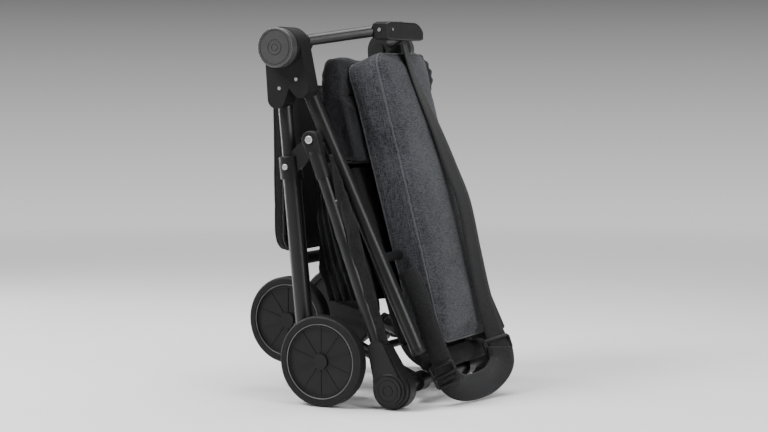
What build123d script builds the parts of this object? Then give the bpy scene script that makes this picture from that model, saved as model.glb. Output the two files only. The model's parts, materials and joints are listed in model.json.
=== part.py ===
"""A compact folding stroller, folded and standing on its rear wheels and front feet.

+X is the direction of travel, +Y the child's left, +Z up, and the floor is z = 0.
The rest shape is the folded one, and the joints open it.
"""

import os
from math import radians, tan

from build123d import *

os.makedirs("parts", exist_ok=True)

# Overall layout. Side positions are (x, z), with x counted from the hub axis.
hub_x = -93.0
hub_z = 587.0
half_width = 225.0
wheel_radius = 75.0
wheel_width = 26.0
rim_radius = 63.0

# Telescopic rear leg: a wide lower tube with a thinner tube sliding in it.
leg_y = 172.0
leg_lean = 5.6
leg_offset = 20.2
wide_tube_radius = 15.0
wide_tube_bore = 13.3
frame_tube_radius = 12.5
tube_wall = 1.6
running_gap = 0.06
wide_tube_top = 396.0
wide_tube_bottom = 64.0
slide_tube_bottom = 100.0
collar_radius = 19.0

# Backrest tube, in front of the rear leg.
back_y = 160.0
back_lean = 25.7
back_start = (29.0, 513.0)
back_tube_bottom = 98.0
socket_top = 545.0

# Side link from the collar to the front foot, and the tube behind it.
link_y = 190.0
side_tube_y = 186.0
link_pivot = (49.0, 436.0)
foot_pivot = (198.0, 33.0)
side_tube_top = (104.0, 335.0)
link_tube_radius = 11.0
side_tube_radius = 9.0
cross_tube_radius = 10.0
foot_radius = 33.0

# Wheels.
rear_axle = (82.0, 75.0)
rear_wheel_y = 212.0
rear_axle_radius = 5.0
front_axle = (-50.0, 121.0)
front_wheel_y = 92.0
front_axle_radius = 4.0
caster_trail = 12.0
pin_gap = 0.05

# Push handle: two arms from the hubs to one grip block.
handle_y = 154.0
grip_x = (98.0, 127.0)
grip_z = (601.0, 632.0)
grip_half = 72.0

right_and_left = (("right", -1), ("left", 1))


def at(side_point, y=0.0):
    """The frame point of a side position at a given width."""
    return Vector(hub_x + side_point[0], y, side_point[1])


def leg_point(z):
    """The rear leg's axis, in the side view, at height z."""
    return ((hub_z - z) * tan(radians(leg_lean)) - leg_offset, z)


def back_point(z):
    """The backrest tube's axis, in the side view, at height z."""
    return (back_start[0] + (back_start[1] - z) * tan(radians(back_lean)), z)


def between(a, b, share):
    """The side position a share of the way from a to b."""
    return (a[0] + (b[0] - a[0]) * share, a[1] + (b[1] - a[1]) * share)


def rod(start, end, radius, bore=0.0):
    """A round bar or tube from one point to another."""
    with BuildPart(mode=Mode.PRIVATE) as bar:
        with BuildSketch(Plane(origin=start, z_dir=end - start)):
            Circle(radius)
            if bore:
                Circle(bore, mode=Mode.SUBTRACT)
        extrude(amount=(end - start).length)
    return bar.part


def disc(side_point, y_from, y_to, radius, bore=0.0):
    """A round piece whose axis lies across the stroller."""
    return rod(at(side_point, y_from), at(side_point, y_to), radius, bore)


def plate(outline, y_from, y_to):
    """A flat piece with a side-view outline of sketch faces, across a width."""
    with BuildPart(mode=Mode.PRIVATE) as flat:
        with BuildSketch(Plane(origin=(hub_x, y_from, 0), x_dir=(1, 0, 0), z_dir=(0, -1, 0))):
            add(outline)
        extrude(amount=y_from - y_to)
    return flat.part


def capsule(a, b, radius_a, radius_b):
    """The side-view outline round two circles."""
    with BuildSketch(mode=Mode.PRIVATE) as outline:
        with Locations(a):
            Circle(radius_a)
        with Locations(b):
            Circle(radius_b)
        make_hull()
    return outline.sketch


def polygon(points, corner=0.0):
    """A side-view outline through points, with its corners rounded."""
    with BuildSketch(mode=Mode.PRIVATE) as outline:
        with BuildLine():
            Polyline(*points, close=True)
        make_face()
        if corner:
            fillet(outline.vertices(), corner)
    return outline.sketch


def level_plane(x, y, z):
    """A level sketch plane with its first direction across the stroller."""
    return Plane(origin=(hub_x + x, y, z), x_dir=(0, 1, 0), z_dir=(0, 0, 1))


def save(part, name):
    part.label = name
    export_step(part, f"parts/{name}.step")


# Rear frame: wide tubes, collars with ears, brackets, axles and the cross tube.

collar_bottom = leg_point(370.0)
collar_top = leg_point(408.0)
ear_inner, ear_outer = 173.5, 180.5
bracket_inner, bracket_outer = 156.0, 197.0
pedal_pivot = (30.0, 92.0)
pedal_tip = (8.0, 60.0)
pedal_pin_radius = 3.0

for name, side in right_and_left:
    tube_top = at(leg_point(wide_tube_top), side * leg_y)
    tube_bottom = at(leg_point(wide_tube_bottom), side * leg_y)
    save(rod(tube_bottom, tube_top, wide_tube_radius, wide_tube_bore), f"rear_tube_{name}")

    with BuildPart() as bracket:
        outline = capsule(leg_point(82.0), rear_axle, 19.0, 15.0)
        add(plate(outline, side * bracket_inner, side * 193.0))
        add(disc(rear_axle, side * 190.0, side * bracket_outer, 12.0))
        add(rod(tube_bottom, at(leg_point(130.0), side * leg_y), 18.0))
        if side > 0:
            add(disc(pedal_pivot, 126.0, 160.0, pedal_pin_radius))
        add(rod(tube_bottom, tube_top, wide_tube_radius), mode=Mode.SUBTRACT)
        add(disc(rear_axle, side * 160.0, side * 200.0, rear_axle_radius), mode=Mode.SUBTRACT)
    save(bracket.part, f"rear_bracket_{name}")

with BuildPart() as collar:
    add(rod(at(collar_bottom, -leg_y), at(collar_top, -leg_y), collar_radius))
    fillet(collar.edges().group_by(Axis.Z)[-1], 3.0)
    add(plate(capsule(leg_point(388.0), link_pivot, 17.0, 14.0), -ear_inner, -ear_outer))
    tube_below, tube_top = at(leg_point(300.0), -leg_y), at(leg_point(wide_tube_top), -leg_y)
    add(rod(tube_below, tube_top, wide_tube_radius), mode=Mode.SUBTRACT)
    sliding_bore = frame_tube_radius + running_gap
    add(rod(at(leg_point(300.0), -leg_y), at(leg_point(420.0), -leg_y), sliding_bore), mode=Mode.SUBTRACT)
    add(disc(link_pivot, -ear_inner, -ear_outer, 5.0), mode=Mode.SUBTRACT)
save(collar.part, "collar_right")
save(mirror(collar.part, about=Plane.XZ), "collar_left")

with BuildPart() as cross_tube:
    cross_at = leg_point(236.0)
    add(disc(cross_at, -leg_y, leg_y, cross_tube_radius, cross_tube_radius - tube_wall))
    for _, side in right_and_left:
        low = at(leg_point(200.0), side * leg_y)
        high = at(leg_point(280.0), side * leg_y)
        add(rod(low, high, wide_tube_radius), mode=Mode.SUBTRACT)
save(cross_tube.part.solids().sort_by(SortBy.VOLUME)[-1], "rear_cross_tube")

with BuildPart() as axle_pins:
    for _, side in right_and_left:
        add(disc(rear_axle, side * 160.0, side * 220.5, rear_axle_radius))
save(axle_pins.part, "rear_axle_pins")

with BuildPart() as link_rivets:
    for _, side in right_and_left:
        add(disc(link_pivot, side * ear_inner, side * 199.0, 5.0))
        add(disc(link_pivot, side * 198.6, side * 201.2, 6.5))
    fillet(link_rivets.edges().filter_by(lambda e: abs(e.center().Y) > 201), 1.5)
save(link_rivets.part, "link_rivets")

with BuildPart() as collar_rivets:
    rivet_at = leg_point(390.0)
    for _, side in right_and_left:
        add(disc(rivet_at, side * 187.5, side * 193.0, 5.0))
        low = at(leg_point(360.0), side * leg_y)
        add(rod(low, at(leg_point(420.0), side * leg_y), collar_radius), mode=Mode.SUBTRACT)
    fillet(collar_rivets.edges().filter_by(lambda e: abs(e.center().Y) > 192.5), 1.0)
save(collar_rivets.part, "collar_rivets")


# Wheels: a moulded disc with ribs and a ring, and a foam tyre.

hub_radius = 13.0
spoke_count = 10


def wheel(centre, y, side, axle_radius, name):
    """A disc with a hub, a raised ring and ribs, and its tyre."""
    half = wheel_width / 2
    outer = y + half
    with BuildPart() as rim:
        add(disc(centre, side * (y - 9.0), side * (outer - 5.0), rim_radius))
        add(disc(centre, side * (y - half + 0.4), side * (outer - 1.0), hub_radius))
        add(disc(centre, side * (outer - 5.0), side * (outer - 2.0), rim_radius, rim_radius - 3.0))
        face = Plane(origin=at(centre, side * (outer - 5.0)), z_dir=(0, side, 0))
        with BuildSketch(face):
            with PolarLocations((hub_radius + rim_radius) / 2 - 2.0, spoke_count):
                Rectangle(rim_radius - hub_radius - 8.0, 2.0)
        extrude(amount=1.0)
        fillet(rim.edges().filter_by(GeomType.CIRCLE).group_by(Axis.Y)[-side], 0.6)
        add(disc(centre, side * (y - half), side * (outer - 4.0), axle_radius + pin_gap), mode=Mode.SUBTRACT)
    save(rim.part, f"{name}_rim")
    with BuildPart() as tyre:
        add(disc(centre, side * (y - half), side * outer, wheel_radius, rim_radius))
        rounds = tyre.edges().filter_by(GeomType.CIRCLE)
        fillet(rounds.filter_by(lambda e: e.radius > rim_radius + 1), 5.0)
    save(tyre.part, f"{name}_tyre")


for name, side in right_and_left:
    wheel(rear_axle, rear_wheel_y, side, rear_axle_radius, f"rear_wheel_{name}")
    wheel(front_axle, front_wheel_y, side, front_axle_radius, f"front_wheel_{name}")

# Parking brake: a pedal on the left bracket.

with BuildPart() as pedal:
    lever = capsule(pedal_pivot, pedal_tip, 9.0, 6.0)
    add(plate(lever, 130.0, 153.0))
    add(disc(pedal_pivot, 128.0, 154.0, 5.0))
    add(disc(pedal_pivot, 126.0, 155.5, pedal_pin_radius + pin_gap), mode=Mode.SUBTRACT)
save(pedal.part, "brake_pedal")


# Handle frame: hub castings with caps, sliding tubes and backrest tubes.

casting_inner, casting_outer = 166.0, 200.0
hub_face = 207.0
leg_socket = leg_point(503.0)
back_socket = back_start

for name, side in right_and_left:
    leg_low, leg_high = leg_point(slide_tube_bottom), leg_point(socket_top)
    back_low, back_high = back_point(back_tube_bottom), back_point(socket_top)
    inner = frame_tube_radius - tube_wall
    slide_start, slide_end = at(leg_low, side * leg_y), at(leg_high, side * leg_y)
    back_end, back_top = at(back_low, side * back_y), at(back_high, side * back_y)
    save(rod(slide_start, slide_end, frame_tube_radius, inner), f"slide_tube_{name}")
    save(rod(back_end, back_top, frame_tube_radius, inner), f"back_tube_{name}")

    with BuildPart() as casting:
        add(plate(capsule((0, hub_z), leg_socket, 34.0, 16.5), side * casting_inner, side * casting_outer))
        add(plate(capsule((0, hub_z), (33.0, 520.0), 34.0, 15.5), side * casting_inner, side * casting_outer))
        add(disc((0, hub_z), side * casting_inner, side * hub_face, 34.0))
        add(rod(at(leg_socket, side * leg_y), at(leg_point(socket_top + 4), side * leg_y), 16.5))
        add(rod(at(back_socket, side * back_y), at(back_point(socket_top + 2), side * back_y), 16.0))
        add(rod(slide_start, slide_end, frame_tube_radius), mode=Mode.SUBTRACT)
        add(rod(back_end, back_top, frame_tube_radius), mode=Mode.SUBTRACT)
        add(disc((0, hub_z), side * 141.0, side * 180.0, 8.0))
        add(disc((0, hub_z), side * 138.0, side * 141.0, 12.0))
    save(casting.part, f"hub_casting_{name}")

    with BuildPart() as cap:
        add(disc((0, hub_z), side * hub_face, side * half_width, 33.0))
        fillet(cap.edges().filter_by(lambda e: abs(e.center().Y) > half_width - 1), 2.5)
        add(disc((0, hub_z), side * (half_width - 1.0), side * half_width, 28.0, 27.0), mode=Mode.SUBTRACT)
        add(disc((0, hub_z), side * (half_width - 0.8), side * half_width, 13.0, 11.6), mode=Mode.SUBTRACT)
        add(disc((0, hub_z), side * (half_width - 0.8), side * half_width, 6.0, 5.0), mode=Mode.SUBTRACT)
    save(cap.part, f"hub_cap_{name}")

with BuildPart() as slide_glides:
    for _, side in right_and_left:
        low, high = leg_point(slide_tube_bottom), leg_point(slide_tube_bottom + 15.0)
        glide_radius = wide_tube_bore - running_gap
        add(rod(at(low, side * leg_y), at(high, side * leg_y), glide_radius, frame_tube_radius))
save(slide_glides.part, "slide_glides")

with BuildPart() as back_tube_ends:
    for _, side in right_and_left:
        end, tip = back_point(back_tube_bottom), back_point(back_tube_bottom - 9.0)
        add(rod(at(end, side * back_y), at(tip, side * back_y), frame_tube_radius))
    fillet(back_tube_ends.edges().filter_by(GeomType.CIRCLE).group_by(Axis.Z)[0], 4.0)
save(back_tube_ends.part, "back_tube_ends")

pad_bar = back_point(242.0)
pad_bar_radius = 8.0
with BuildPart() as back_bar:
    add(disc(pad_bar, -back_y, back_y, pad_bar_radius))
    for _, side in right_and_left:
        low, high = back_point(200.0), back_point(290.0)
        add(rod(at(low, side * back_y), at(high, side * back_y), frame_tube_radius), mode=Mode.SUBTRACT)
save(back_bar.part.solids().sort_by(SortBy.VOLUME)[-1], "back_cross_bar")

with BuildPart() as casting_screws:
    for _, side in right_and_left:
        for spot in (leg_point(520.0), back_point(535.0)):
            add(disc((spot[0] + 8.0, spot[1]), side * casting_outer, side * (casting_outer + 1.5), 3.0))
save(casting_screws.part, "casting_screws")


# Push handle: rings on the hub pins, slanting arms, and the grip block with its button.

arm_start = (19.0, 599.0)
arm_end = (grip_x[0] + 4.0, 617.0)
ring_inner, ring_outer = 143.0, 164.5
arm_radius = 9.5
button_y, button_size, button_travel = 0.0, (22.0, 11.0), 3.5
button_gap = 0.5

for name, side in right_and_left:
    with BuildPart() as arm:
        add(rod(at(arm_start, side * handle_y), at(arm_end, side * (grip_half - 15.0)), arm_radius))
        with Locations(at(arm_start, side * handle_y)):
            Sphere(arm_radius)
        add(plate(capsule((0, hub_z), arm_start, 21.0, arm_radius), side * ring_inner, side * ring_outer))
        with Locations(at((grip_x[0] + 20.0, 616.0))):
            Box(40.0, 2 * grip_half, 60.0, mode=Mode.SUBTRACT)
        add(disc((0, hub_z), side * 140.0, side * 170.0, 8.0 + pin_gap), mode=Mode.SUBTRACT)
    save(arm.part.solids().sort_by(SortBy.VOLUME)[-1], f"handle_arm_{name}")

with BuildPart() as grip:
    with BuildSketch(Plane(origin=(hub_x + grip_x[0], 0, 0), x_dir=(0, 1, 0), z_dir=(1, 0, 0))):
        with BuildLine():
            Polyline(
                (-grip_half + 2.0, grip_z[0] + 3.0),
                (-grip_half + 2.0, grip_z[1] - 4.0),
                (-grip_half + 16.0, grip_z[1]),
                (grip_half - 40.0, grip_z[1]),
            )
            ThreePointArc(
                (grip_half - 40.0, grip_z[1]),
                (grip_half - 16.0, grip_z[1] - 5.0),
                (grip_half - 2.0, grip_z[1] - 16.0),
            )
            Polyline(
                (grip_half - 2.0, grip_z[1] - 16.0),
                (grip_half - 2.0, grip_z[0] + 2.0),
                (grip_half - 14.0, grip_z[0]),
                (-grip_half + 16.0, grip_z[0]),
                (-grip_half + 2.0, grip_z[0] + 3.0),
            )
        make_face()
    extrude(amount=grip_x[1] - grip_x[0])
    fillet(grip.edges().group_by(Axis.X)[0] + grip.edges().group_by(Axis.X)[-1], 3.0)
    button_middle = (grip_x[0] + grip_x[1]) / 2
    pocket_floor = grip_z[1] - button_travel - 6.0
    with BuildSketch(level_plane(button_middle, button_y, pocket_floor)):
        SlotOverall(button_size[0] + 2 * button_gap, button_size[1] + 2 * button_gap)
    extrude(amount=20.0, mode=Mode.SUBTRACT)
save(grip.part, "grip_block")

with BuildPart() as button:
    button_floor = pocket_floor + button_travel + 0.8
    with BuildSketch(level_plane(button_middle, button_y, button_floor)):
        SlotOverall(*button_size)
    extrude(amount=grip_z[1] + 1.5 - button_floor)
    fillet(button.edges().group_by(Axis.Z)[-1], 1.0)
save(button.part, "release_button")

with BuildPart() as grip_screws:
    end_face = at((button_middle, 618.0), -grip_half + 2.0)
    with BuildSketch(Plane(origin=end_face, z_dir=(0, -1, 0))):
        Circle(3.2)
    extrude(amount=1.2)
    front_face = Vector(hub_x + grip_x[1], -grip_half + 22.0, 619.0)
    with BuildSketch(Plane(origin=front_face, z_dir=(1, 0, 0))):
        Circle(2.4)
    extrude(amount=1.2)
save(grip_screws.part, "grip_screws")


# Seat frame: links, side tubes, feet and the foot cross tube.

fitting_inner, fitting_outer = 181.5, 198.0
foot_inner, foot_outer = 168.0, 203.0
link_bottom = between(foot_pivot, link_pivot, 0.07)
link_top = between(link_pivot, foot_pivot, 0.045)
side_bottom = between(foot_pivot, side_tube_top, 0.06)

for name, side in right_and_left:
    link_low, link_high = at(link_bottom, side * link_y), at(link_top, side * link_y)
    save(rod(link_low, link_high, link_tube_radius, link_tube_radius - tube_wall), f"link_tube_{name}")

    with BuildPart() as fitting:
        shape = capsule(link_pivot, between(link_pivot, foot_pivot, 0.055), 15.0, 13.0)
        add(plate(shape, side * fitting_inner, side * fitting_outer))
        fillet(fitting.edges().filter_by(lambda e: abs(e.center().Y) > fitting_outer - 0.1), 2.5)
        sleeve_from, sleeve_to = between(link_pivot, foot_pivot, 0.06), between(link_pivot, foot_pivot, 0.155)
        add(rod(at(sleeve_from, side * link_y), at(sleeve_to, side * link_y), 12.6))
        add(rod(link_low, link_high, link_tube_radius), mode=Mode.SUBTRACT)
        add(disc(link_pivot, side * 160.0, side * 210.0, 5.0 + pin_gap), mode=Mode.SUBTRACT)
    save(fitting.part, f"link_fitting_{name}")

    with BuildPart() as foot:
        add(disc(foot_pivot, side * foot_inner, side * 190.0, foot_radius))
        add(disc(foot_pivot, side * foot_inner, side * foot_outer, 27.0))
        fillet(foot.edges().filter_by(lambda e: abs(e.center().Y) > foot_outer - 0.1), 2.0)
        socket_outline = capsule(foot_pivot, between(foot_pivot, link_pivot, 0.16), 25.0, 15.0)
        add(plate(socket_outline, side * 178.0, side * 202.0))
        side_outline = capsule(foot_pivot, between(foot_pivot, side_tube_top, 0.2), 31.0, 14.0)
        add(plate(side_outline, side * 172.0, side * 198.0))
        add(rod(link_low, link_high, link_tube_radius), mode=Mode.SUBTRACT)
        side_low, side_high = at(side_bottom, side * side_tube_y), at(side_tube_top, side * side_tube_y)
        add(rod(side_low, side_high, side_tube_radius), mode=Mode.SUBTRACT)
        add(disc(foot_pivot, side * 160.0, side * 178.0, cross_tube_radius), mode=Mode.SUBTRACT)
    save(foot.part, f"foot_{name}")

with BuildPart() as foot_caps:
    for _, side in right_and_left:
        add(disc(foot_pivot, side * foot_outer, side * (foot_outer + 3.0), 23.0))
        for ring in (18.0, 9.0):
            groove = disc(foot_pivot, side * (foot_outer + 2.2), side * (foot_outer + 3.0), ring, ring - 1.0)
            add(groove, mode=Mode.SUBTRACT)
save(foot_caps.part, "foot_caps")

with BuildPart() as side_tubes:
    for _, side in right_and_left:
        side_low, side_high = at(side_bottom, side * side_tube_y), at(side_tube_top, side * side_tube_y)
        add(rod(side_low, side_high, side_tube_radius))
        bridge_at = between(link_pivot, foot_pivot, 0.26)
        add(rod(at(side_tube_top, side * side_tube_y), at(bridge_at, side * link_y), 8.0))
        with Locations(side_high):
            Sphere(side_tube_radius)
        link_ends = at(link_pivot, side * link_y), at(foot_pivot, side * link_y)
        add(rod(*link_ends, link_tube_radius), mode=Mode.SUBTRACT)
save(side_tubes.part, "side_tubes")

with BuildPart() as foot_cross_tube:
    add(disc(foot_pivot, -178.0, 178.0, cross_tube_radius, cross_tube_radius - 2.0))
save(foot_cross_tube.part, "foot_cross_tube")


# Front legs: arms that turn on the foot cross tube, caster forks and swivel pins.

to_foot = Vector(foot_pivot[0] - front_axle[0], 0, foot_pivot[1] - front_axle[1]).normalized()
over_wheel = Vector(-to_foot.Z, 0, to_foot.X)
housing_start, housing_end = 93.0, 120.0
fork_start, fork_end = 84.0, 92.0
swivel_radius = 5.0


def on_swivel(distance, side):
    """A point on a caster's swivel axis, measured from beside the wheel towards the foot."""
    centre = at(front_axle, side * front_wheel_y)
    return centre + over_wheel * caster_trail + to_foot * distance


for name, side in right_and_left:
    hinge_at = at(foot_pivot, side * front_wheel_y)
    with BuildPart() as leg:
        add(rod(on_swivel(housing_start, side), on_swivel(housing_end, side), 15.0))
        fillet(leg.edges().filter_by(GeomType.CIRCLE), 3.0)
        add(rod(on_swivel(housing_end - 8.0, side), hinge_at, 10.0))
        add(disc(foot_pivot, side * (front_wheel_y - 12.0), side * (front_wheel_y + 12.0), 16.0))
        swivel_bore = swivel_radius + pin_gap
        add(rod(on_swivel(80.0, side), on_swivel(housing_end - 3.0, side), swivel_bore), mode=Mode.SUBTRACT)
        hinge_bore = cross_tube_radius + pin_gap
        add(disc(foot_pivot, side * 60.0, side * 120.0, hinge_bore), mode=Mode.SUBTRACT)
    save(leg.part, f"front_leg_{name}")

    with BuildPart() as fork:
        add(rod(on_swivel(fork_start, side), on_swivel(housing_end - 4.0, side), swivel_radius))
        add(rod(on_swivel(fork_start, side), on_swivel(fork_end, side), 14.0))
        shoulder = on_swivel(fork_end - 8.0, side)
        shoulder_at = (shoulder.X - hub_x, shoulder.Z)
        fork_leg = capsule(front_axle, shoulder_at, 11.0, 8.0)
        leg_inner, leg_outer = front_wheel_y - 22.0, front_wheel_y - 15.0
        add(plate(fork_leg, side * leg_inner, side * leg_outer))
        add(plate(capsule(shoulder_at, shoulder_at, 8.0, 8.0), side * leg_inner, side * front_wheel_y))
        wheel_room = at(front_axle, side * (front_wheel_y - 14.9)), at(front_axle, side * 140.0)
        add(rod(*wheel_room, wheel_radius + 3.0), mode=Mode.SUBTRACT)
        add(disc(front_axle, side * leg_inner, side * (front_wheel_y + 7.0), front_axle_radius))
        add(rod(on_swivel(fork_end, side), on_swivel(housing_end - 4.0, side), swivel_radius))
    save(fork.part, f"caster_fork_{name}")

brace_at = on_swivel(155.0, 1)
with BuildPart() as leg_brace:
    brace_z = brace_at.Z - 4.0
    brace_ends = [Vector(brace_at.X, side * front_wheel_y, brace_z) for _, side in right_and_left]
    add(rod(*brace_ends, 7.0))
    for _, side in right_and_left:
        hinge_at = at(foot_pivot, side * front_wheel_y)
        add(rod(on_swivel(housing_end - 8.0, side), hinge_at, 10.0), mode=Mode.SUBTRACT)
save(leg_brace.part.solids().sort_by(SortBy.VOLUME)[-1], "front_leg_brace")


# Soft parts, as plain closed shapes.

pad_half = 97.0
with BuildPart() as back_pad:
    pad_outline = polygon([(70, 560), (82, 584), (108, 586), (118, 572), (246, 96), (236, 90), (188, 104)])
    add(plate(pad_outline, -pad_half, pad_half))
    add(disc(pad_bar, -pad_half, pad_half, pad_bar_radius + 0.4), mode=Mode.SUBTRACT)
save(back_pad.part, "back_pad")

with BuildPart() as canopy_roll:
    roll = capsule((44.0, 548.0), (46.0, 512.0), 22.0, 19.0)
    add(plate(roll, -128.0, 128.0))
    fillet(canopy_roll.edges().filter_by(GeomType.CIRCLE), 6.0)
save(canopy_roll.part, "canopy_roll")

with BuildPart() as rear_panel:
    panel_outline = polygon([(-58, 528), (-36, 534), (-30, 300), (-32, 236), (-44, 232), (-52, 262)])
    add(plate(panel_outline, -148.0, 148.0))
save(rear_panel.part, "rear_panel")

sling_half = 112.0
sling_gap = 9.0
sling_top, sling_front = between(link_pivot, foot_pivot, 0.13), between(link_pivot, foot_pivot, 0.88)
with BuildPart() as seat_sling:
    sling_outline = capsule(sling_top, sling_front, sling_gap - 2.0, sling_gap - 2.0)
    add(plate(sling_outline, -sling_half, sling_half))
    add(disc((222.0, 66.0), -sling_half, sling_half, 17.0))
    add(plate(capsule(sling_front, (222.0, 66.0), 7.0, 8.0), -sling_half, sling_half))
save(seat_sling.part, "seat_sling")

with BuildPart() as basket:
    basket_outline = polygon([(32, 386), (48, 386), (114, 214), (112, 172), (62, 168), (36, 214)])
    add(plate(basket_outline, -146.0, 146.0))
save(basket.part, "basket")


# Carry strap: webbing from the grip over the pad to the floor and up the right side.

strap_thickness = 2.5


def band(points, y_from, y_to, thickness):
    """A strap as a side-view path of even thickness, across a width."""
    with BuildSketch(mode=Mode.PRIVATE) as outline:
        with BuildLine():
            FilletPolyline(*points, radius=18.0)
        trace(line_width=thickness)
    return plate(outline.sketch, y_from, y_to)


far_run_y = (31.0, 69.0)
near_run_y = (-121.5, -119.0)
far_run = [(121, 598), (136, 560), (150, 500), (196, 380), (224, 300), (238, 220), (256, 150), (288, 98)]
save(band(far_run, *far_run_y, strap_thickness), "strap_front")
near_run = [(188, 222), (206, 190), (232, 124), (242, 94)]
with BuildPart() as strap_back:
    run_outline = capsule(near_run[0], near_run[1], 17.0, 19.0)
    add(plate(run_outline, *near_run_y))
    for low, high in zip(near_run[1:], near_run[2:]):
        add(plate(capsule(low, high, 19.0, 19.0), *near_run_y))
save(strap_back.part, "strap_back")

with BuildPart() as shoulder_pad:
    pad_line = [(299, 60), (305, 30), (302, 14), (286, 9)]
    for low, high in zip(pad_line, pad_line[1:]):
        add(plate(capsule(low, high, 6.0, 6.0), 40.0, -100.0))
save(shoulder_pad.part, "shoulder_pad")


# Strap hardware: a buckle over the shoulder pad and an adjuster under the right run.

with BuildPart() as buckle:
    add(plate(capsule((291, 91), (296, 73), 5.0, 5.0), 27.0, 73.0))
    add(plate(capsule((292.5, 85), (295, 78), 7.0, 7.0), 38.0, 62.0))
save(buckle.part, "strap_buckle")

with BuildPart() as adjuster:
    frame_outline = Plane(origin=(hub_x, -124.5, 0), x_dir=(1, 0, 0), z_dir=(0, -1, 0))
    with BuildSketch(frame_outline):
        with Locations(Location((258.0, 44.0), 20.0)):
            RectangleRounded(48.0, 36.0, 4.0)
            with GridLocations(0.0, 14.0, 1, 2):
                SlotOverall(40.0, 8.0, mode=Mode.SUBTRACT)
    extrude(amount=-8.0)
save(adjuster.part, "strap_adjuster")
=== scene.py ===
import json
import math

import bmesh
import bpy
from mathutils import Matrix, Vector, bvhtree, kdtree, noise


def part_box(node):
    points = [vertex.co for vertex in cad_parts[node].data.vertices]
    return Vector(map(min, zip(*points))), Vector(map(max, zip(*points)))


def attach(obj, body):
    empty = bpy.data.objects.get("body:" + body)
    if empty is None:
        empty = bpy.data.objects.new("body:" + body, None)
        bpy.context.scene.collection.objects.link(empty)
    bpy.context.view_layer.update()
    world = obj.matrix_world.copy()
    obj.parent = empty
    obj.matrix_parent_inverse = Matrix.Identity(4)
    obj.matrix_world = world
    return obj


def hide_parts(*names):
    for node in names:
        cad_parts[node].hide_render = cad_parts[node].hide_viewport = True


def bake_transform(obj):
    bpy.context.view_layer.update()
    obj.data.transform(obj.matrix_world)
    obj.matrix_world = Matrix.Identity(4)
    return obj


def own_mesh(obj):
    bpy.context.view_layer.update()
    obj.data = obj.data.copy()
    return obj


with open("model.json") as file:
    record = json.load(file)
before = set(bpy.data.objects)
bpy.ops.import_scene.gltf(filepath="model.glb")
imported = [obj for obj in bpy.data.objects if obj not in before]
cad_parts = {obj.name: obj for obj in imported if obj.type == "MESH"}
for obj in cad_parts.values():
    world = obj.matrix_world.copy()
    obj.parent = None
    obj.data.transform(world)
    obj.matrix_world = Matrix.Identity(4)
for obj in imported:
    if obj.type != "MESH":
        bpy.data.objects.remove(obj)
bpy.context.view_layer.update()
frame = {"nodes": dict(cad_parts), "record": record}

# A folded compact stroller. Places are in millimetres, given as (forward, left, up) from the hub
# axis on the floor, and place() turns them into the frame's metres. Widths, thicknesses and the
# shape of a Cushion are in millimetres too. Bead radii, seam reaches and cloth settings are metres.

cap_low, cap_high = (Vector(c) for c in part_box("hub_cap_right"))
hub_x = (cap_low.x + cap_high.x) / 2
MM = 0.001


def place(x, y, z):
    return Vector((hub_x + x * MM, y * MM, z * MM))


def in_scene(name, data):
    """A new object in the scene."""
    made = bpy.data.objects.new(name, data)
    bpy.context.scene.collection.objects.link(made)
    return made


# ---------------------------------------------------------------- camera

AZIMUTH, PITCH = math.radians(27.24), math.radians(4.35)
CAMERA_AT = (1518.8, -2784.9, 537.0)

camera_data = bpy.data.cameras.new("camera")
camera_data.lens, camera_data.sensor_width = 85.0, 36.0
camera = in_scene("camera", camera_data)
camera.location = place(*CAMERA_AT)
camera.rotation_euler = (math.pi / 2 - PITCH, 0.0, AZIMUTH)
bpy.context.scene.camera = camera

# ---------------------------------------------------------------- node helpers


def new_material(name):
    material = bpy.data.materials.new(name)
    material.use_nodes = True
    return material, material.node_tree.nodes, material.node_tree.links


def coordinates(nodes, links, stretch=(1.0, 1.0, 1.0)):
    """Object coordinates, in metres, stretched along the axes."""
    source = nodes.new("ShaderNodeTexCoord")
    mapping = nodes.new("ShaderNodeMapping")
    mapping.inputs["Scale"].default_value = stretch
    links.new(source.outputs["Object"], mapping.inputs["Vector"])
    return mapping.outputs["Vector"]


def noise_at(nodes, links, vector, scale, detail=3.0, roughness=0.5):
    texture = nodes.new("ShaderNodeTexNoise")
    texture.inputs["Scale"].default_value = scale
    texture.inputs["Detail"].default_value = detail
    texture.inputs["Roughness"].default_value = roughness
    links.new(vector, texture.inputs["Vector"])
    return texture.outputs["Fac"]


def ramp(nodes, links, factor, stops):
    """A colour ramp from (position, grey or colour) stops."""
    node = nodes.new("ShaderNodeValToRGB")
    elements = node.color_ramp.elements
    for i, (where, colour) in enumerate(stops):
        element = elements[i] if i < 2 else elements.new(where)
        element.position = where
        element.color = (*colour, 1.0) if hasattr(colour, "__len__") else (colour, colour, colour, 1.0)
    links.new(factor, node.inputs["Fac"])
    return node.outputs["Color"]


def math_node(nodes, links, operation, a, b):
    node = nodes.new("ShaderNodeMath")
    node.operation = operation
    for socket, value in zip(node.inputs, (a, b)):
        if isinstance(value, (int, float)):
            socket.default_value = value
        else:
            links.new(value, socket)
    return node.outputs["Value"]


def bump(nodes, links, shader, height, strength, distance):
    node = nodes.new("ShaderNodeBump")
    node.inputs["Strength"].default_value = strength
    node.inputs["Distance"].default_value = distance
    links.new(height, node.inputs["Height"])
    links.new(node.outputs["Normal"], shader.inputs["Normal"])


def sine_of(nodes, links, vector, axis, period):
    """A sine wave along one axis of a vector, from -1 to 1, with its period in metres."""
    parts = nodes.new("ShaderNodeSeparateXYZ")
    links.new(vector, parts.inputs["Vector"])
    scaled = math_node(nodes, links, "MULTIPLY", parts.outputs[axis], 2 * math.pi / period)
    node = nodes.new("ShaderNodeMath")
    node.operation = "SINE"
    links.new(scaled, node.inputs[0])
    return node.outputs["Value"]


# ---------------------------------------------------------------- materials


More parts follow.
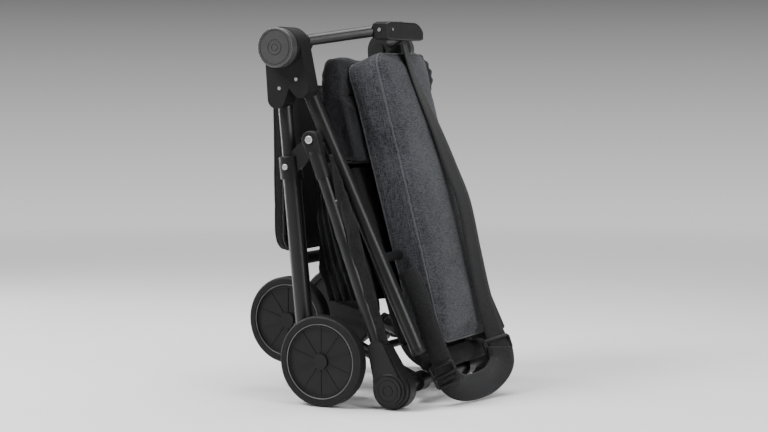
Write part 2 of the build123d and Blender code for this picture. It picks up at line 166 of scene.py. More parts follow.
def hard_surface(name, dark, light, rough, grain, grain_scale, metallic=0.0, coat=0.0, gloss=0.22):
    """Painted tube or moulded plastic: fine grain, cloudy gloss and faint handling marks."""
    material, nodes, links = new_material(name)
    shader = nodes["Principled BSDF"]
    vector = coordinates(nodes, links)
    cloud = noise_at(nodes, links, vector, 9.0, 5.0, 0.6)
    links.new(ramp(nodes, links, cloud, [(0.3, dark), (0.75, light)]), shader.inputs["Base Color"])
    smear = noise_at(nodes, links, coordinates(nodes, links, (1.0, 1.0, 0.25)), 60.0, 6.0, 0.65)
    links.new(
        ramp(nodes, links, smear, [(0.25, rough - 0.06), (0.8, rough + 0.1)]), shader.inputs["Roughness"]
    )
    bump(nodes, links, shader, noise_at(nodes, links, vector, grain_scale, 2.0), grain, 0.0004)
    shader.inputs["Metallic"].default_value = metallic
    shader.inputs["Coat Weight"].default_value = coat
    shader.inputs["Coat Roughness"].default_value = 0.35
    shader.inputs["Specular IOR Level"].default_value = gloss
    return material


def woven(name, dark, light, thread, melange, sheen=0.25, depth=0.35, rough=0.9):
    """Woven cloth: crossed threads, slubs and two-tone melange yarn, the same on every face."""
    material, nodes, links = new_material(name)
    shader = nodes["Principled BSDF"]
    flat = coordinates(nodes, links)
    turned = nodes.new("ShaderNodeMapping")
    turned.inputs["Rotation"].default_value = (0.0, 0.0, math.radians(45.0))
    links.new(flat, turned.inputs["Vector"])
    across = sine_of(nodes, links, turned.outputs["Vector"], "X", thread)
    upward = sine_of(nodes, links, flat, "Z", thread)
    weave = math_node(nodes, links, "MULTIPLY", across, upward)
    slub_up = noise_at(nodes, links, coordinates(nodes, links, (1.0, 1.0, 0.12)), 900.0, 2.0)
    slub_across = noise_at(nodes, links, coordinates(nodes, links, (0.15, 0.15, 1.0)), 900.0, 2.0)
    yarn = math_node(nodes, links, "ADD", slub_up, slub_across)
    tone = math_node(nodes, links, "MULTIPLY", yarn, 0.5)
    worn = noise_at(nodes, links, flat, 14.0, 4.0, 0.6)
    mixed = math_node(nodes, links, "ADD", math_node(nodes, links, "MULTIPLY", worn, 0.25), tone)
    half = melange / 2
    stops = [(0.62 - half, dark), (0.62 + half, light)]
    links.new(ramp(nodes, links, mixed, stops), shader.inputs["Base Color"])
    height = math_node(nodes, links, "ADD", math_node(nodes, links, "MULTIPLY", weave, 0.5), yarn)
    bump(nodes, links, shader, height, depth, 0.0006)
    shader.inputs["Roughness"].default_value = rough
    shader.inputs["Sheen Weight"].default_value = sheen
    shader.inputs["Sheen Roughness"].default_value = 0.5
    shader.inputs["Specular IOR Level"].default_value = 0.12
    return material


def ribbed(name, dark, light, rib):
    """Webbing: close ribs along the band, read from its UVs, with paler ridges."""
    material, nodes, links = new_material(name)
    shader = nodes["Principled BSDF"]
    source = nodes.new("ShaderNodeUVMap")
    source.uv_map = "band"
    ribs = sine_of(nodes, links, source.outputs["UV"], "X", rib)
    picks = sine_of(nodes, links, source.outputs["UV"], "Y", rib * 0.6)
    weave = math_node(nodes, links, "ADD", ribs, math_node(nodes, links, "MULTIPLY", picks, 0.6))
    fuzz = noise_at(nodes, links, coordinates(nodes, links), 700.0, 3.0)
    tone = math_node(nodes, links, "ADD", math_node(nodes, links, "MULTIPLY", weave, 0.12), fuzz)
    links.new(ramp(nodes, links, tone, [(0.3, dark), (0.8, light)]), shader.inputs["Base Color"])
    bump(nodes, links, shader, weave, 0.45, 0.0005)
    shader.inputs["Roughness"].default_value = 0.8
    shader.inputs["Sheen Weight"].default_value = 0.08
    shader.inputs["Specular IOR Level"].default_value = 0.2
    return material


def brushed(name):
    """Brushed metal with fine streaks."""
    material, nodes, links = new_material(name)
    shader = nodes["Principled BSDF"]
    shader.inputs["Metallic"].default_value = 1.0
    streaks = noise_at(nodes, links, coordinates(nodes, links, (1.0, 1.0, 8.0)), 500.0, 4.0)
    links.new(ramp(nodes, links, streaks, [(0.2, 0.5), (0.8, 0.8)]), shader.inputs["Base Color"])
    links.new(ramp(nodes, links, streaks, [(0.2, 0.22), (0.8, 0.4)]), shader.inputs["Roughness"])
    return material


satin = hard_surface("satin_frame", 0.007, 0.011, 0.36, 0.12, 2500.0, metallic=0.1, coat=0.08, gloss=0.38)
moulded = hard_surface("moulded_black", 0.008, 0.013, 0.42, 0.3, 1800.0)
cap_grey = hard_surface("hub_cap", 0.030, 0.042, 0.36, 0.2, 2200.0, coat=0.1, gloss=0.5)
disc_black = hard_surface("wheel_disc", 0.007, 0.012, 0.40, 0.3, 1600.0)
foam = hard_surface("tyre", 0.006, 0.010, 0.55, 0.5, 1300.0)
grey_button = hard_surface("button", 0.04, 0.055, 0.45, 0.2, 2000.0)
steel = brushed("bright_steel")
ring_grey = hard_surface("rim_ring", 0.12, 0.15, 0.4, 0.1, 2000.0, metallic=0.3)
melange = woven("grey_melange", (0.012, 0.013, 0.015), (0.062, 0.065, 0.073), 0.0011, 0.22, 0.1)
black_cloth = woven("black_fabric", (0.004, 0.004, 0.0045), (0.016, 0.016, 0.017), 0.0010, 0.3, 0.05)
canopy_cloth = woven(
    "canopy_cloth", (0.004, 0.004, 0.005), (0.024, 0.024, 0.027), 0.0016, 0.28, 0.08, 0.6
)
thread_grey = woven("thread", (0.035, 0.036, 0.04), (0.08, 0.082, 0.09), 0.0006, 0.3)
webbing_edge = woven("binding", (0.006, 0.006, 0.006), (0.02, 0.02, 0.021), 0.0008, 0.3)
webbing = ribbed("webbing", (0.005, 0.005, 0.0055), (0.030, 0.030, 0.032), 0.0022)

CAD_LOOKS = {
    "satin_frame": satin,
    "moulded_black": moulded,
    "hub_cap": cap_grey,
    "bright_steel": steel,
    "wheel_disc": disc_black,
    "tyre": foam,
    "button": grey_button,
    "grey_melange": melange,
    "black_fabric": black_cloth,
    "webbing": webbing,
}
for row in frame["record"]["subparts"]:
    mesh = frame["nodes"][row["node"]].data
    mesh.materials.clear()
    mesh.materials.append(CAD_LOOKS[row["material_slot"]])

# ---------------------------------------------------------------- mesh helpers


def evaluated(made):
    """A new mesh of an object with its modifiers applied."""
    graph = bpy.context.evaluated_depsgraph_get()
    return bpy.data.meshes.new_from_object(made.evaluated_get(graph), depsgraph=graph)


def puff(made, voxel, pressure, cap):
    """Swells a pad with a short cloth simulation, each point held within a cap of where it was."""
    remesh = made.modifiers.new("remesh", "REMESH")
    remesh.mode, remesh.voxel_size = "VOXEL", voxel
    made.data = evaluated(made)
    made.modifiers.clear()
    before = [v.co.copy() for v in made.data.vertices]
    cloth = made.modifiers.new("cloth", "CLOTH")
    cloth.settings.quality = 5
    cloth.settings.use_pressure = True
    cloth.settings.uniform_pressure_force = pressure
    cloth.settings.effector_weights.gravity = 0.0
    cloth.collision_settings.use_collision = False
    for step in range(1, 21):
        bpy.context.scene.frame_set(step)
    swollen = evaluated(made)
    made.modifiers.clear()
    for vertex, start in zip(swollen.vertices, before):
        move = vertex.co - start
        if move.length > cap:
            vertex.co = start + move.normalized() * cap
    made.data = swollen
    bpy.context.scene.frame_set(1)
    made.modifiers.new("smooth", "SUBSURF").render_levels = 1


def piece(name, vertices, faces, material, body, slot, smooth=True, swell=None):
    """A mesh piece that rides on a body and takes the given material; its slot is not used."""
    mesh = bpy.data.meshes.new(name)
    mesh.from_pydata([tuple(v) for v in vertices], [], faces)
    mesh.materials.append(material)
    made = in_scene(name, mesh)
    outward = bmesh.new()
    outward.from_mesh(mesh)
    bmesh.ops.recalc_face_normals(outward, faces=outward.faces)
    outward.to_mesh(mesh)
    outward.free()
    if swell:
        puff(made, **swell)
    for polygon in made.data.polygons:
        polygon.use_smooth = smooth
    if body:
        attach(made, body)
    return made


def full_turn(count):
    """Evenly spaced angles round a circle."""
    return [2 * math.pi * k / count for k in range(count)]


def lofted(rings, cap=True):
    """Vertices and faces of a closed skin over rings of equal point counts."""
    count = len(rings[0])
    vertices = [point for ring in rings for point in ring]
    faces = []
    for row in range(len(rings) - 1):
        for i in range(count):
            j = (i + 1) % count
            low, high = row * count, (row + 1) * count
            faces.append((low + i, low + j, high + j, high + i))
    if cap:
        for row in (0, len(rings) - 1):
            middle = sum(rings[row], Vector()) / count
            vertices.append(middle)
            for i in range(count):
                faces.append((row * count + i, row * count + (i + 1) % count, len(vertices) - 1))
    return vertices, faces


def smooth_line(points, steps=12):
    """A smooth line through points, as a Catmull-Rom spline."""
    points = [Vector(p) for p in points]
    padded = [points[0] * 2 - points[1], *points, points[-1] * 2 - points[-2]]
    line = []
    for a, b, c, d in zip(padded, padded[1:], padded[2:], padded[3:]):
        for i in range(steps):
            t = i / steps
            bend, twist = 2 * a - 5 * b + 4 * c - d, 3 * b - a - 3 * c + d
            line.append(0.5 * (2 * b + (c - a) * t + bend * t * t + twist * t**3))
    line.append(points[-1])
    return line


def rounded_rectangle(half_x, half_y, radius, per_corner=12, per_side=14):
    """Points round a rounded rectangle, from the middle of its right side."""
    points = []
    corners = [(1, 1, 0), (-1, 1, 90), (-1, -1, 180), (1, -1, 270)]
    for sx, sy, start in corners:
        cx, cy = sx * (half_x - radius), sy * (half_y - radius)
        for i in range(per_corner + 1):
            angle = math.radians(start + 90 * i / per_corner)
            points.append(Vector((cx + radius * math.cos(angle), cy + radius * math.sin(angle))))
    full = []
    for a, b in zip(points, points[1:] + points[:1]):
        full.append(a)
        gap = (b - a).length
        if gap > radius:
            full += [a.lerp(b, k / per_side) for k in range(1, per_side)]
    return full


FACE_TILT = 0.26
FACE_RINGS = 14


class Cushion:
    """A padded block between a back line and a front line, each (top, bottom) in the side view."""

    def __init__(self, front, back, half_width, corner, edge, crown):
        self.front, self.back = front, back
        self.half_width, self.corner, self.edge, self.crown = half_width, corner, edge, crown
        top, bottom = (Vector(p) for p in front)
        self.height = (top - bottom).length

    def point(self, y, up, depth):
        """A point at a width, a distance above the middle, and a depth from -1, back, to 1, front."""
        share = 0.5 - up / self.height
        front = Vector(self.front[0]).lerp(Vector(self.front[1]), share)
        back = Vector(self.back[0]).lerp(Vector(self.back[1]), share)
        spot = back.lerp(front, (depth + 1) / 2)
        return place(spot.x, y, spot.y)

    def ring(self, inset, depth):
        """A rounded outline, drawn in from the full width and height, at a depth."""
        half, tall = self.half_width - inset, self.height / 2 - inset
        corner = max(self.corner - inset, 2.0)
        return [self.point(p.x, p.y, depth) for p in rounded_rectangle(half, tall, corner)]

    def face_rings(self, front):
        """Rings from a face's rim to near its middle, crowned."""
        side = 1 if front else -1
        rings = []
        outer = self.ring(self.edge, side)
        middle = self.point(0.0, 0.0, side)
        outward = Vector((math.cos(FACE_TILT), 0, math.sin(FACE_TILT)))
        for step in range(1, FACE_RINGS + 1):
            inward = step / (FACE_RINGS + 1)
            lift = self.crown * (1 - (1 - inward) ** 2) * side
            push = outward * lift * MM
            rings.append([p.lerp(middle, inward) + push for p in outer])
        return rings

    def mesh(self):
        """Vertices and faces: the back face, the rounded edges, the wall and the front face."""
        rings = self.face_rings(False)[::-1]
        quarter = [math.radians(90 * i / 4) for i in range(5)]
        depth_mm = (Vector(self.front[0]) - Vector(self.back[0])).length
        soft = self.edge / (depth_mm / 2)
        for angle in quarter:
            rings.append(self.ring(self.edge * (1 - math.sin(angle)), -1 + soft * (1 - math.cos(angle))))
        for level in range(1, 9):
            depth = -1 + soft + (2 - 2 * soft) * level / 9
            waist = 2.0 * math.sin(math.pi * level / 9)
            rings.append(self.ring(waist, depth))
        for angle in quarter[::-1]:
            rings.append(self.ring(self.edge * (1 - math.sin(angle)), 1 - soft * (1 - math.cos(angle))))
        rings += self.face_rings(True)
        return lofted(rings)


def crease(made, line, reach, depth):
    """Pulls a surface in along a seam line."""
    tree = kdtree.KDTree(len(line))
    for i, spot in enumerate(line):
        tree.insert(spot, i)
    tree.balance()
    for vertex in made.data.vertices:
        away = tree.find(vertex.co)[2]
        if away < reach:
            vertex.co -= vertex.normal * depth * (1 - away / reach) ** 2


def onto(made, line, lift):
    """A line laid on a piece's surface, a little proud of it, with the surface's normals."""
    tree = bvhtree.BVHTree.FromObject(made, bpy.context.evaluated_depsgraph_get())
    laid = []
    for spot in line:
        where, normal, _, _ = tree.find_nearest(spot)
        laid.append((where + normal * lift, normal))
    return laid


def evenly(line, step, closed=True):
    """Points at an even spacing along a line."""
    line = [Vector(p) for p in line] + ([Vector(line[0])] if closed else [])
    spaced, left = [line[0]], step
    for a, b in zip(line, line[1:]):
        length = (b - a).length
        done = 0.0
        while length - done >= left:
            done += left
            spaced.append(a.lerp(b, done / length))
            left = step
        left -= length - done
    return spaced


def stitches(name, made, line, body, slot, closed=True, length=2.6, gap=1.5, thick=0.45):
    """A row of short thread stitches laid on a piece."""
    vertices, faces = [], []
    spots = onto(made, evenly(line, (length + gap) * MM, closed), 0.15 * MM)
    for (here, normal), (ahead, _) in zip(spots, spots[1:]):
        along = (ahead - here).normalized()
        aside = along.cross(normal).normalized() * thick * MM
        up = normal * thick * MM
        end = here + along * length * MM
        base = len(vertices)
        for spot in (here, end):
            vertices += [spot + aside, spot + up, spot - aside, spot - up]
        for k in range(4):
            m = (k + 1) % 4
            faces.append((base + k, base + m, base + 4 + m, base + 4 + k))
        faces += [(base, base + 1, base + 2, base + 3), (base + 7, base + 6, base + 5, base + 4)]
    return piece(name, vertices, faces, thread_grey, body, slot)


def corded(name, line, radius, material, body, slot, closed=True, sides=8):
    """A round bead along a line, such as piping or a hem."""
    line = [Vector(p) for p in line]
    count, rings = len(line), []
    for i, spot in enumerate(line):
        ahead = line[(i + 1) % count] if closed else line[min(i + 1, count - 1)]
        behind = line[i - 1] if closed else line[max(i - 1, 0)]
        along = (ahead - behind).normalized()
        side = along.cross(Vector((0.31, 0.87, 0.38))).normalized()
        up = along.cross(side)
        rings.append([spot + (side * math.cos(t) + up * math.sin(t)) * radius for t in full_turn(sides)])
    if closed:
        rings.append(rings[0])
    vertices, faces = lofted(rings, cap=not closed)
    return piece(name, vertices, faces, material, body, slot)


def band(name, points, across, width, thickness, material, body, slot, steps=12):
    """A flat strap along points, its width lying along the given directions, with UVs in metres."""
    middle = smooth_line([place(*p) for p in points], steps)
    sideways = smooth_line([Vector(a) for a in across], steps)
    half, thin = width / 2 * MM, thickness / 2 * MM
    section = [(-1, 0), (-0.97, 1), (-0.5, 0.9), (0, 0.85), (0.5, 0.9), (0.97, 1), (1, 0)]
    section += [(0.97, -1), (0.5, -0.9), (0, -0.85), (-0.5, -0.9), (-0.97, -1)]
    rings, lengths, run = [], [], 0.0
    for i, spot in enumerate(middle):
        before, after = middle[max(i - 1, 0)], middle[min(i + 1, len(middle) - 1)]
        along = (after - before).normalized()
        side = sideways[i] - along * sideways[i].dot(along)
        side.normalize()
        face = along.cross(side)
        rings.append([spot + side * (half * a) + face * (thin * b) for a, b in section])
        run += (spot - middle[i - 1]).length if i else 0.0
        lengths.append(run)
    vertices, faces = lofted(rings)
    made = piece(name, vertices, faces, material, body, slot)
    layer = made.data.uv_layers.new(name="band")
    for loop in made.data.loops:
        row, column = divmod(loop.vertex_index, len(section))
        row = min(row, len(lengths) - 1)
        layer.data[loop.index].uv = (lengths[row], section[column % len(section)][0] * half)
    return made, run


def wrinkled(made, size, amount, stretch=(1, 1, 1), seed=0.0):
    """Moves a surface in and out by smooth noise, as loose cloth lies."""
    for vertex in made.data.vertices:
        spot = Vector([c * s / size for c, s in zip(vertex.co, stretch)]) + Vector((seed, seed, seed))
        vertex.co += vertex.normal * noise.noise(spot) * amount * MM


# ---------------------------------------------------------------- grey back pad

PAD_TOP, PAD_BOTTOM = (116, 586), (247, 92)
STITCH_INSET = 5.0
STITCH_BEHIND = 2.6
SEAM_REACH, SEAM_DEPTH, SEAM_BEAD = 0.008, 0.003, 0.0014
pad = Cushion(
    front=(PAD_TOP, PAD_BOTTOM),
    back=((58, 563), (184, 104)),
    half_width=96.0,
    corner=27.0,
    edge=6.0,
    crown=5.0,
)
back_pad = piece(
    "back_pad_cover",
    *pad.mesh(),
    melange,
    "handle_frame",
    "grey_melange",
    swell={"voxel": 0.005, "pressure": 4.0, "cap": 0.005},
)
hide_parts("back_pad")

seam_turn = math.radians(45.0)
pad_depth = (Vector(pad.front[0]) - Vector(pad.back[0])).length
soft_share = pad.edge / (pad_depth / 2)
pad_pieces = [back_pad]
for place_name, side in (("front", 1), ("back", -1)):
    inset = pad.edge * (1 - math.sin(seam_turn))
    seam = pad.ring(inset, side * (1 - soft_share * (1 - math.cos(seam_turn))))
    crease(back_pad, evenly(seam, 0.002), SEAM_REACH, SEAM_DEPTH)
    lane = [spot for spot, _ in onto(back_pad, evenly(seam, 0.006), 0.0004)]
    pad_pieces.append(
        corded(f"pad_seam_{place_name}", lane, SEAM_BEAD, thread_grey, "handle_frame", "grey_melange")
    )
    face_lane = pad.ring(pad.edge + STITCH_INSET, side)
    wall_lane = pad.ring(0.0, side * (1 - soft_share * STITCH_BEHIND))
    for lane_name, lane in (("face", face_lane), ("wall", wall_lane)):
        name = f"pad_stitch_{place_name}_{lane_name}"
        pad_pieces.append(stitches(name, back_pad, lane, "handle_frame", "grey_melange"))

# On the open seat the pad's lower end rests on the sling; here each pad piece only gets a mesh of its own.
for made in pad_pieces:
    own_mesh(made)

# ---------------------------------------------------------------- rear panel, seat sling

panel = Cushion(
    front=((-34, 530), (-30, 236)),
    back=((-56, 528), (-52, 240)),
    half_width=146.0,
    corner=34.0,
    edge=7.0,
    crown=3.0,
)
rear_panel = piece(
    "rear_panel_cover",
    *panel.mesh(),
    black_cloth,
    "handle_frame",
    "black_fabric",
    swell={"voxel": 0.006, "pressure": 3.0, "cap": 0.005},
)
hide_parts("rear_panel")
for place_name, side in (("front", 1), ("back", -1)):
    edge_line = evenly(panel.ring(4.0, side * 0.9), 0.007)
    lane = [spot for spot, _ in onto(rear_panel, edge_line, 0.0002)]
    corded(f"panel_binding_{place_name}", lane, 0.0018, webbing_edge, "handle_frame", "webbing")
    stitches(
        f"panel_stitch_{place_name}", rear_panel, panel.ring(14.0, side), "handle_frame", "black_fabric"
    )

sling = Cushion(
    front=((79, 388), (188, 96)),
    back=((62, 382), (172, 88)),
    half_width=110.0,
    corner=18.0,
    edge=5.0,
    crown=2.0,
)
seat_sling = piece("seat_sling_cover", *sling.mesh(), black_cloth, "seat_frame", "black_fabric")
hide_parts("seat_sling")
wrinkled(seat_sling, size=0.05, amount=3.0, seed=4.0)

ROLL_AT, ROLL_HALF, ROLL_RADIUS, ROLL_ROUNDING = (222, 66), 111.0, 16.5, 14.0
front_roll = []
for i in range(61):
    y = -ROLL_HALF + 2 * ROLL_HALF * i / 60
    end = min(1.0, (ROLL_HALF - abs(y)) / ROLL_ROUNDING)
    radius = ROLL_RADIUS * math.sqrt(max(1 - (1 - end) ** 2, 0.02))
    front_roll.append(
        [
            place(ROLL_AT[0] + radius * math.cos(t), y, ROLL_AT[1] + radius * math.sin(t))
            for t in full_turn(36)
        ]
    )
roll = piece("seat_front_roll", *lofted(front_roll), black_cloth, "seat_frame", "black_fabric")
wrinkled(roll, size=0.02, amount=2.0, stretch=(1, 0.4, 1), seed=9.0)
flap = Cushion(
    front=((186, 98), (228, 58)),
    back=((176, 92), (214, 52)),
    half_width=108.0,
    corner=6.0,
    edge=3.0,
    crown=1.0,
)
sling_flap = piece("seat_flap", *flap.mesh(), black_cloth, "seat_frame", "black_fabric")

# ---------------------------------------------------------------- basket with pleated sides

BASKET_FRONT = [(49, 392), (80, 310), (113, 220), (128, 166)]
BASKET_BACK = [(31, 392), (32, 310), (38, 220), (58, 166)]
BASKET_HALF = 143.0
PLEATS, PLEAT_DEPTH, PLEAT_DRIFT, SAG = 5, 4.0, 0.35, 5.0


def along_polyline(points, share):
    """A position a share of the way down a side-view line, by height."""
    height = points[0][1] + (points[-1][1] - points[0][1]) * share
    for (x0, z0), (x1, z1) in zip(points, points[1:]):
        if z1 <= height <= z0:
            return x0 + (x1 - x0) * (z0 - height) / (z0 - z1), height
    return points[-1]


def basket_ring(share):
    """A level outline of the basket: pleated sides, sagging back and front."""
    front, height = along_polyline(BASKET_FRONT, share)
    back, _ = along_polyline(BASKET_BACK, share)
    side_steps, cross_steps = [i / 60 for i in range(60)], [i / 40 for i in range(40)]
    deep = PLEAT_DEPTH * min(1.0, 0.25 + share * 1.2)
    sag = SAG * math.sin(math.pi * share)
    width = 2 * BASKET_HALF

    def pleat(t, shift):
        return deep * math.sin(2 * math.pi * (PLEATS * t + PLEAT_DRIFT * math.sin(5 * share + shift)))

    ring = [place(back + (front - back) * t, -BASKET_HALF + pleat(t, 0), height) for t in side_steps]
    ring += [
        place(front - sag * math.sin(math.pi * t), -BASKET_HALF + width * t, height) for t in cross_steps
    ]
    ring += [place(front + (back - front) * t, BASKET_HALF - pleat(t, 1), height) for t in side_steps]
    ring += [
        place(back + sag * math.sin(math.pi * t), BASKET_HALF - width * t, height) for t in cross_steps
    ]
    return ring


basket_rings = [basket_ring(i / 60) for i in range(61)]
basket = piece("basket_cloth", *lofted(basket_rings), black_cloth, None, "black_fabric")
wrinkled(basket, size=0.03, amount=5.0, stretch=(1, 1, 0.5), seed=2.0)
wrinkled(basket, size=0.011, amount=1.6, stretch=(1, 1, 0.6), seed=7.0)
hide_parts("basket")
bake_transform(basket)

# ---------------------------------------------------------------- cloth sleeves on the side tubes

FOOT, SLEEVE_TOP, SLEEVE_Y = (198.0, 33.0), (83.0, 412.0), 186.0
SLEEVE_START = 0.2
for name, side in (("right", -1), ("left", 1)):
    rings = []
    for i in range(81):
        share = SLEEVE_START + (1 - SLEEVE_START) * i / 80
        x = FOOT[0] + (SLEEVE_TOP[0] - FOOT[0]) * share
        z = FOOT[1] + (SLEEVE_TOP[1] - FOOT[1]) * share
        narrow = min(1.0, (1.02 - share) * 3.6)
        wide, thin = 2.0 + 10.5 * narrow, 1.5 + 9.3 * narrow
        rings.append(
            [
                place(x + wide * math.cos(t), side * (SLEEVE_Y + thin * math.sin(t)), z)
                for t in full_turn(40)
            ]
        )
    sleeve = piece(f"side_sleeve_{name}", *lofted(rings), black_cloth, "seat_frame", "black_fabric")
    wrinkled(sleeve, size=0.02, amount=5.0, stretch=(1.6, 1.6, 0.22), seed=3.0 + side)
    wrinkled(sleeve, size=0.009, amount=1.6, stretch=(1, 1, 0.4), seed=5.0)

# ---------------------------------------------------------------- rolled canopy

CANOPY_AT, CANOPY_HALF, CANOPY_ROUNDING = (45, 531), 127.0, 16.0
CANOPY_DEEP, CANOPY_TALL = 19, 37


def canopy_ring(y):
    """An upright oval outline of the roll, with soft folds."""
    end = min(1.0, (CANOPY_HALF + 0.5 - abs(y)) / CANOPY_ROUNDING)
    shrink = math.sqrt(max(1 - (1 - end) ** 2, 0.05))
    ring = []
    for t in full_turn(64):
        fold = 1.5 * math.sin(3 * t + y / 30.0) + 0.8 * math.sin(7 * t - y / 18.0)
        deep, tall = (CANOPY_DEEP + fold) * shrink, (CANOPY_TALL + fold) * shrink
        ring.append(place(CANOPY_AT[0] + deep * math.cos(t), y, CANOPY_AT[1] + tall * math.sin(t)))
    return ring


canopy_rings = [canopy_ring(-CANOPY_HALF + 2 * CANOPY_HALF * i / 90) for i in range(91)]
canopy = piece("canopy_cloth_roll", *lofted(canopy_rings), canopy_cloth, "handle_frame", "black_fabric")
wrinkled(canopy, size=0.03, amount=3.5, stretch=(1, 0.35, 1), seed=1.0)
wrinkled(canopy, size=0.01, amount=1.2, stretch=(1, 0.5, 1), seed=6.0)
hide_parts("canopy_roll")

drape = Cushion(
    front=((68, 508), (98, 398)),
    back=((26, 508), (62, 398)),
    half_width=122.0,
    corner=14.0,
    edge=8.0,
    crown=4.0,
)
canopy_drape = piece("canopy_drape", *drape.mesh(), canopy_cloth, "handle_frame", "black_fabric")
wrinkled(canopy_drape, size=0.035, amount=9.0, stretch=(1, 1, 0.35), seed=11.0)
wrinkled(canopy_drape, size=0.014, amount=3.0, stretch=(1, 1, 0.5), seed=12.0)

# The roll's loose end, folded round the far side of the pad.
TAIL_POINTS = [(60, 94, 566), (84, 106, 570), (100, 116, 548), (104, 120, 520), (98, 116, 488)]
TAIL_RADIUS = 17.0
tail_line = smooth_line(TAIL_POINTS)
tail_rings = []
for i, spot in enumerate(tail_line):
    share = i / (len(tail_line) - 1)
    radius = TAIL_RADIUS * math.sqrt(max(1 - (2 * share - 1) ** 6, 0.03)) + 1.4 * math.sin(share * 46.0)
    ring = []
    for t in full_turn(28):
        forward, aside = radius * math.cos(t), radius * math.sin(t)
        ring.append(place(spot.x + forward * 0.8, spot.y + aside, spot.z + forward * 0.6))
    tail_rings.append(ring)
tail = piece("canopy_fold", *lofted(tail_rings), canopy_cloth, "handle_frame", "black_fabric")

# ---------------------------------------------------------------- carry strap


def hang(made):
    """The strap gathers up towards the handle as the handle rises; here the piece only gets a mesh of its
    own.
    """
    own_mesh(made)


RIGHT, AWAY = Vector((0.889, 0.457, 0.0)), Vector((-0.457, 0.889, 0.0))


def turned(degrees_round, down=0.0):
    """A direction across the strap, turned from facing forward and tipped down."""
    angle = math.radians(degrees_round)
    return (AWAY * math.cos(angle) + RIGHT * math.sin(angle) + Vector((0, 0, -down))).normalized()


STRAP_POINTS = [
    (121, 4, 598), (130, 10, 560), (143, 20, 516), (167, 36, 450), (189, 46, 388), (214, 49, 326),
    (234, 49, 240), (251, 50, 165), (270, 48, 112), (286, 42, 78), (294, 30, 52), (292, -10, 31),
    (284, -60, 25), (274, -98, 30), (262, -118, 48), (249, -120, 84), (232, -120, 124), (206, -120, 190),
    (189, -120, 221),
]
STRAP_ACROSS = [
    turned(12), turned(15), turned(20), turned(30), turned(40), turned(42),
    turned(45), turned(52), turned(66), turned(80), turned(85, 0.7), turned(88, 4.0),
    (0.0, 0.0, -1.0), (-0.35, -0.15, -0.9), (-0.95, -0.2, -0.25), (-1, 0, -0.3),
    (-1, 0, -0.4), (-1, 0, -0.4), (-1, 0, -0.45),
]
STRAP_WIDTH, STRAP_THICKNESS = 37.0, 1.9
SHOULDER_WIDTH, SHOULDER_THICKNESS = 45.0, 9.0
strap, strap_length = band(
    "carry_strap",
    STRAP_POINTS,
    STRAP_ACROSS,
    STRAP_WIDTH,
    STRAP_THICKNESS,
    webbing,
    "handle_frame",
    "webbing",
)
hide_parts("strap_front", "strap_back")

SHOULDER_PART = slice(9, 15)
shoulder_pad, _ = band(
    "shoulder_pad_cover",
    STRAP_POINTS[SHOULDER_PART],
    STRAP_ACROSS[SHOULDER_PART],
    SHOULDER_WIDTH,
    SHOULDER_THICKNESS,
    webbing,
    "handle_frame",
    "webbing",
)
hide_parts("shoulder_pad")


BAR_PROFILE = ((0.0, 0.55), (0.03, 0.9), (0.08, 1.0), (0.92, 1.0), (0.97, 0.9), (1.0, 0.55))


def rounded_bar(start, end, face, thick, deep):
    """Vertices and faces of a bar with rounded ends, oval about the face direction."""
    aside = (end - start).normalized().cross(face)
    rings = []
    for share, grow in BAR_PROFILE:
        spot = start.lerp(end, share)
        rings.append(
            [
                spot + aside * math.cos(t) * thick * grow * MM + face * math.sin(t) * deep * grow * MM
                for t in full_turn(12)
            ]
        )
    return lofted(rings)


def slider(name, middle, along, across, length, width, bars):
    """A strap slider: a rounded frame of two sides and several crossbars."""
    along, across = Vector(along).normalized(), Vector(across)
    across = (across - along * across.dot(along)).normalized()
    face = along.cross(across)
    centre = place(*middle)
    half_l, half_w = length / 2 * MM, width / 2 * MM
    pieces = []
    for sign in (-1, 1):
        edge = centre + across * half_w * sign
        pieces.append(rounded_bar(edge - along * half_l, edge + along * half_l, face, 2.6, 2.6))
    for k in range(bars):
        spot = centre + along * half_l * (2 * k / (bars - 1) - 1)
        pieces.append(rounded_bar(spot - across * half_w, spot + across * half_w, face, 3.2, 2.4))
    vertices, faces = [], []
    for bar_vertices, bar_faces in pieces:
        base = len(vertices)
        vertices.extend(bar_vertices)
        faces.extend(tuple(i + base for i in f) for f in bar_faces)
    return piece(name, vertices, faces, moulded, "handle_frame", "moulded_black")


buckle = slider("strap_buckle_frame", (282, 42, 82), (0.35, 0, -0.94), turned(78), 22.0, 46.0, 2)
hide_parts("strap_buckle")
adjuster = slider("strap_adjuster_frame", (260, -121, 52), (0.42, 0.1, -0.9), (-1, 0, -0.4), 34.0, 44.0, 3)
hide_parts("strap_adjuster")

for made in (strap, shoulder_pad, buckle, adjuster):
    hang(made)

# ---------------------------------------------------------------- rings on the wheel faces

RINGS = (("outer", 0.0615, 0.0010, ring_grey), ("inner", 0.0575, 0.0005, disc_black))
RING_SUNK = 0.0016


def wheel_rings(body, side):
    """Fine round lines moulded on the outer face of a wheel."""
    low, high = (Vector(c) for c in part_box(f"{body}_tyre"))
    centre = (low + high) / 2
    face_y = (low.y if side < 0 else high.y) - side * RING_SUNK
    for ring_name, radius, bead, look in RINGS:
        line = [
            (centre.x + radius * math.cos(t), face_y, centre.z + radius * math.sin(t))
            for t in full_turn(120)
        ]
        corded(f"{body}_{ring_name}_ring", line, bead, look, body, "wheel_disc")


for name, side in (("right", -1), ("left", 1)):
    for wheel in ("rear_wheel", "front_wheel"):
        wheel_rings(f"{wheel}_{name}", side)

# ---------------------------------------------------------------- floor, light and studio grey


FLOOR_RADIUS = 4.0
FLOOR_FADE = [(0.18, 1.0), (0.9, 0.0)]


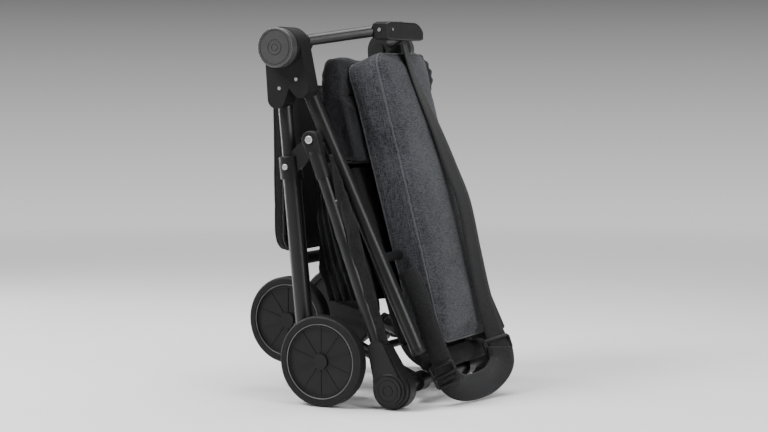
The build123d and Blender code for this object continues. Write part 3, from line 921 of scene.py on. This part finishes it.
def fading_floor():
    """A pale round floor that fades out at its edge into the studio grey round it."""
    material, nodes, links = new_material("floor")
    shader, output = nodes["Principled BSDF"], nodes["Material Output"]
    vector = coordinates(nodes, links)
    shade = noise_at(nodes, links, vector, 1.2, 2.0)
    links.new(ramp(nodes, links, shade, [(0.3, 0.74), (0.7, 0.78)]), shader.inputs["Base Color"])
    shader.inputs["Roughness"].default_value = 0.6
    span = nodes.new("ShaderNodeVectorMath")
    span.operation = "LENGTH"
    links.new(vector, span.inputs[0])
    share = math_node(nodes, links, "MULTIPLY", span.outputs["Value"], 1 / FLOOR_RADIUS)
    near = ramp(nodes, links, share, FLOOR_FADE)
    clear, mix = nodes.new("ShaderNodeBsdfTransparent"), nodes.new("ShaderNodeMixShader")
    links.new(near, mix.inputs["Fac"])
    links.new(clear.outputs[0], mix.inputs[1])
    links.new(shader.outputs[0], mix.inputs[2])
    links.new(mix.outputs[0], output.inputs["Surface"])
    rim = [(FLOOR_RADIUS * math.cos(t), FLOOR_RADIUS * math.sin(t), 0.0) for t in full_turn(96)]
    mesh = bpy.data.meshes.new("floor")
    mesh.from_pydata(rim, [], [tuple(range(len(rim)))])
    mesh.materials.append(material)
    in_scene("floor", mesh)


fading_floor()


def area_light(name, at, target, size, power):
    """A white softbox of a width and height, aimed at a target."""
    data = bpy.data.lights.new(name, "AREA")
    data.shape, data.size, data.size_y = "RECTANGLE", size[0], size[1]
    data.energy = power
    lamp = in_scene(name, data)
    lamp.location = at
    lamp.rotation_euler = (Vector(target) - Vector(at)).to_track_quat("-Z", "Y").to_euler()


area_light("key", (-1.3, -1.5, 2.4), (0.0, 0.0, 0.35), (1.2, 1.2), 115.0)
area_light("side", (-1.9, 0.3, 0.9), (0.0, 0.0, 0.35), (0.5, 1.8), 26.0)
area_light("right", (2.0, -0.7, 1.1), (0.1, 0.0, 0.3), (0.7, 1.8), 34.0)
area_light("top", (0.2, 0.5, 2.7), (0.1, 0.1, 0.3), (2.0, 2.0), 95.0)

# Studio grey by height: pale at and below the horizon, dark above. The ramp spans z from -0.1 to 0.15.
SKY_STOPS = [(0.0, 0.95), (0.12, 0.85), (0.38, 0.46), (0.60, 0.16), (1.0, 0.08)]
SKY_SCALE, SKY_SHIFT = 4.0, 0.4


def studio_grey():
    world = bpy.data.worlds.new("studio")
    world.use_nodes = True
    nodes, links = world.node_tree.nodes, world.node_tree.links
    source, parts = nodes.new("ShaderNodeTexCoord"), nodes.new("ShaderNodeSeparateXYZ")
    links.new(source.outputs["Generated"], parts.inputs["Vector"])
    height = math_node(nodes, links, "MULTIPLY", parts.outputs["Z"], SKY_SCALE)
    height = math_node(nodes, links, "ADD", height, SKY_SHIFT)
    links.new(ramp(nodes, links, height, SKY_STOPS), nodes["Background"].inputs["Color"])
    nodes["Background"].inputs["Strength"].default_value = 1.0
    bpy.context.scene.world = world


studio_grey()
